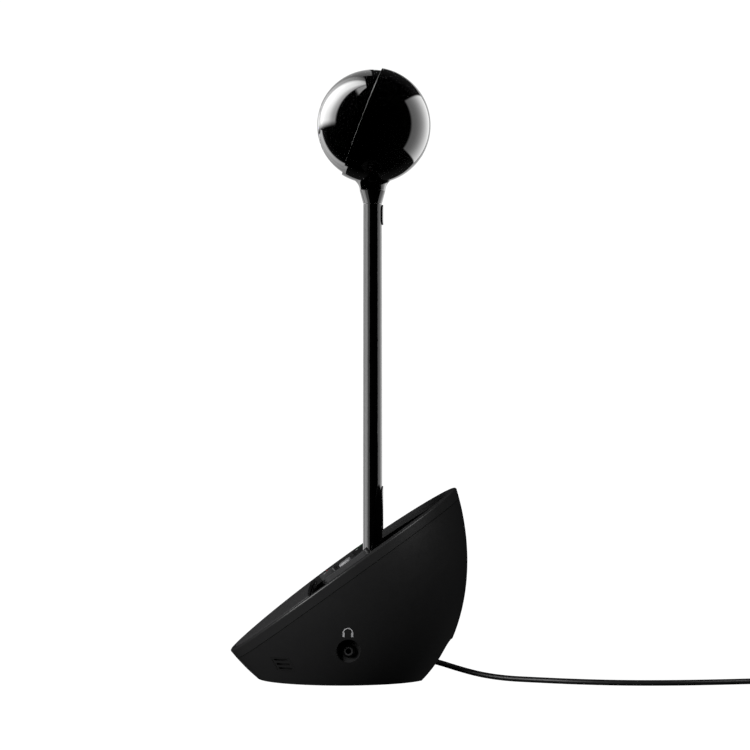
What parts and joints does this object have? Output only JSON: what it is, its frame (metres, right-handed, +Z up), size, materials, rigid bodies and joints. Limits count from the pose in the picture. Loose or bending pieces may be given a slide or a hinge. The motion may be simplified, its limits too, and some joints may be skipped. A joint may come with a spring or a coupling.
{
  "type": "desktop pan-tilt conference camera",
  "caption": "Ball camera that pans and tilts on a plug-in pole, standing in a speakerphone base with a tilted face, grille, key panel, headset jack and USB lead.",
  "frame": {"origin": "on the table, at the centre of the object's outline without its free lead", "axes": "+Z up; -Y is the front, where the lens looks and the keypad faces; +X is the user's right, the side with the headset jack"},
  "size_m": [0.1546, 0.3932, 0.3853],
  "materials": {
    "base_plastic": "fine satin texture",
    "bezel_plastic": "satin",
    "black_gloss": "high gloss",
    "grille_metal": "perforated, satin paint",
    "key_plastic": "satin",
    "dark_key_plastic": "semi-gloss",
    "pale_pad": "satin white",
    "inner_plastic": "plain moulding",
    "rubber": "matte",
    "cord_jacket": "smooth matte",
    "circuit_board": "solder mask",
    "steel": "plain",
    "lens_glass": "coated",
    "led_diffuser": "smoked"
  },
  "bodies": {
    "base": {"base_lower_shell": "base_plastic", "bezel_ring": "bezel_plastic", "bottom_cover": "base_plastic", "rubber_foot": "rubber", "bottom_screws": "steel", "ballast_plate": "base_plastic", "speaker_basket": "base_plastic", "speaker_cone": "rubber", "speaker_magnet": "steel", "main_board": "circuit_board", "jack_body": "inner_plastic", "jack_collar": "black_gloss", "mic_louvre_right": "base_plastic", "mic_louvre_left": "base_plastic", "dc_socket": "inner_plastic", "lead_gland": "rubber", "speaker_grille": "grille_metal", "control_panel": "black_gloss", "key_mat": "rubber", "key_board": "circuit_board", "pole_socket": "base_plastic", "usb_lead": "cord_jacket", "usb_lead_coil": "cord_jacket", "usb_plug": "cord_jacket"},
    "volume_rocker": {"volume_rocker": "key_plastic"},
    "end_key": {"end_key": "key_plastic"},
    "answer_key": {"answer_key": "dark_key_plastic"},
    "mute_key": {"mute_key": "dark_key_plastic"},
    "pad_pivot": {"pad_pivot": "inner_plastic"},
    "four_way_pad": {"four_way_pad": "pale_pad"},
    "stand": {"stand_tube": "black_gloss", "stand_foot_plug": "inner_plastic", "stand_head_socket": "inner_plastic", "stand_wiring": "cord_jacket"},
    "stand_release_button": {"stand_release_button": "dark_key_plastic"},
    "neck_release_button": {"neck_release_button": "dark_key_plastic"},
    "neck": {"neck_collar": "black_gloss", "neck_plug": "inner_plastic", "pan_bearing": "inner_plastic", "pan_retainer": "steel", "pan_motor": "steel"},
    "head": {"head_shell": "black_gloss", "head_shell_plug": "black_gloss", "head_chassis": "inner_plastic", "head_screw": "steel", "tilt_pins": "steel", "tilt_motor": "steel", "pan_ring_gear": "inner_plastic"},
    "pan_pinion": {"pan_pinion": "inner_plastic"},
    "ball": {"lens_dome": "black_gloss", "tilt_bushes": "inner_plastic", "lens_window": "lens_glass", "led_ring": "led_diffuser", "lens_barrel": "inner_plastic", "lens_elements": "lens_glass", "sensor_board": "circuit_board", "tilt_sector": "inner_plastic"},
    "tilt_pinion": {"tilt_pinion": "inner_plastic"}
  },
  "joints": [
    {"name": "volume_rock", "type": "hinge", "parent": "base", "child": "volume_rocker", "pos_m": [0.035, 0.00149, 0.07092], "axis": [1, 0, 0], "range_deg": [-2.5, 2.5], "stiffness_Nm_per_rad": 0.02},
    {"name": "end_key_press", "type": "slide", "parent": "base", "child": "end_key", "axis": [0, 0.585, -0.8111], "range_m": [0, 0.0008], "stiffness_N_per_m": 150},
    {"name": "answer_key_press", "type": "slide", "parent": "base", "child": "answer_key", "axis": [0, 0.585, -0.8111], "range_m": [0, 0.0008], "stiffness_N_per_m": 150},
    {"name": "mute_key_press", "type": "slide", "parent": "base", "child": "mute_key", "axis": [0, 0.585, -0.8111], "range_m": [0, 0.0008], "stiffness_N_per_m": 150},
    {"name": "pad_rock_up_down", "type": "hinge", "parent": "base", "child": "pad_pivot", "pos_m": [-0.001, 0.00016, 0.0702], "axis": [1, 0, 0], "range_deg": [-2.5, 2.5], "stiffness_Nm_per_rad": 0.01},
    {"name": "pad_rock_left_right", "type": "hinge", "parent": "pad_pivot", "child": "four_way_pad", "pos_m": [-0.001, 0.00016, 0.0702], "axis": [0, 0.8111, 0.585], "range_deg": [-2.5, 2.5], "stiffness_Nm_per_rad": 0.01},
    {"name": "stand_lift", "type": "slide", "parent": "base", "child": "stand", "axis": [0, 0, 1], "range_m": [0, 0.06]},
    {"name": "stand_release_button_press", "type": "slide", "parent": "stand", "child": "stand_release_button", "axis": [0, -1, 0], "range_m": [0, 0.0012], "stiffness_N_per_m": 150},
    {"name": "neck_release_button_press", "type": "slide", "parent": "stand", "child": "neck_release_button", "axis": [0, -1, 0], "range_m": [0, 0.0012], "stiffness_N_per_m": 150},
    {"name": "neck_lift", "type": "slide", "parent": "stand", "child": "neck", "axis": [0, 0, 1], "range_m": [0, 0.03]},
    {"name": "head_pan", "type": "hinge", "parent": "neck", "child": "head", "pos_m": [0, 0.0148, 0.311], "axis": [0, 0, 1], "range_deg": [-90, 90]},
    {"name": "pan_pinion_spin", "type": "hinge", "parent": "neck", "child": "pan_pinion", "pos_m": [0.0042, 0.0148, 0.311], "axis": [0, 0, 1], "range_deg": [-365, 365]},
    {"name": "lens_tilt", "type": "hinge", "parent": "head", "child": "ball", "pos_m": [0, 0.0148, 0.3493], "axis": [-1, 0, 0], "range_deg": [-30, 25]},
    {"name": "tilt_pinion_spin", "type": "hinge", "parent": "head", "child": "tilt_pinion", "pos_m": [0.023, 0.0358, 0.3493], "axis": [-1, 0, 0], "range_deg": [-185, 185]}
  ],
  "couplings": [
    {"joint": "pan_pinion_spin", "follows": "head_pan", "ratio": 4},
    {"joint": "tilt_pinion_spin", "follows": "lens_tilt", "ratio": -6}
  ]
}
